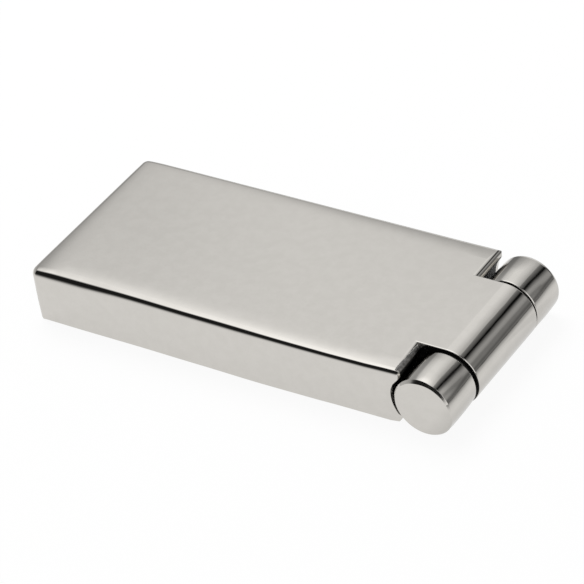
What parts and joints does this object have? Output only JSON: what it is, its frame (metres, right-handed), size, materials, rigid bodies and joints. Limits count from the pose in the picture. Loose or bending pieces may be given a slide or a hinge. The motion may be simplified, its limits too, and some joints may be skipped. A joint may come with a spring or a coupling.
{
  "type": "concealed hinge",
  "caption": "Folded hinge of polished stainless steel: a hollow cover leaf closes over its frame leaf and hides every fixing.",
  "frame": {"origin": "midway along the folded hinge and across its leaf, on the plane that it lies on and that its frame leaf is screwed to", "axes": "+X from the far end towards the barrel, Y along the barrel with the closed front knuckle at -Y, +Z out of the polished face"},
  "size_m": [0.0946, 0.0408, 0.0124],
  "materials": {
    "polished_cover": "mirror-polished cast stainless steel, left as cast in the hollow",
    "cast_frame": "cast stainless steel, with the knuckles mirror polished",
    "ground_pin": "ground stainless steel",
    "acetal": "turned black acetal"
  },
  "bodies": {
    "frame": {"frame_leaf": "cast_frame", "hinge_pin": "ground_pin"},
    "cover": {"cover_leaf": "polished_cover", "front_bush": "acetal", "rear_bush": "acetal"}
  },
  "joints": [
    {"name": "swing", "type": "hinge", "parent": "frame", "child": "cover", "pos_m": [0.0411, 0, 0.0062], "axis": [0, 1, 0], "range_deg": [0, 180]}
  ]
}
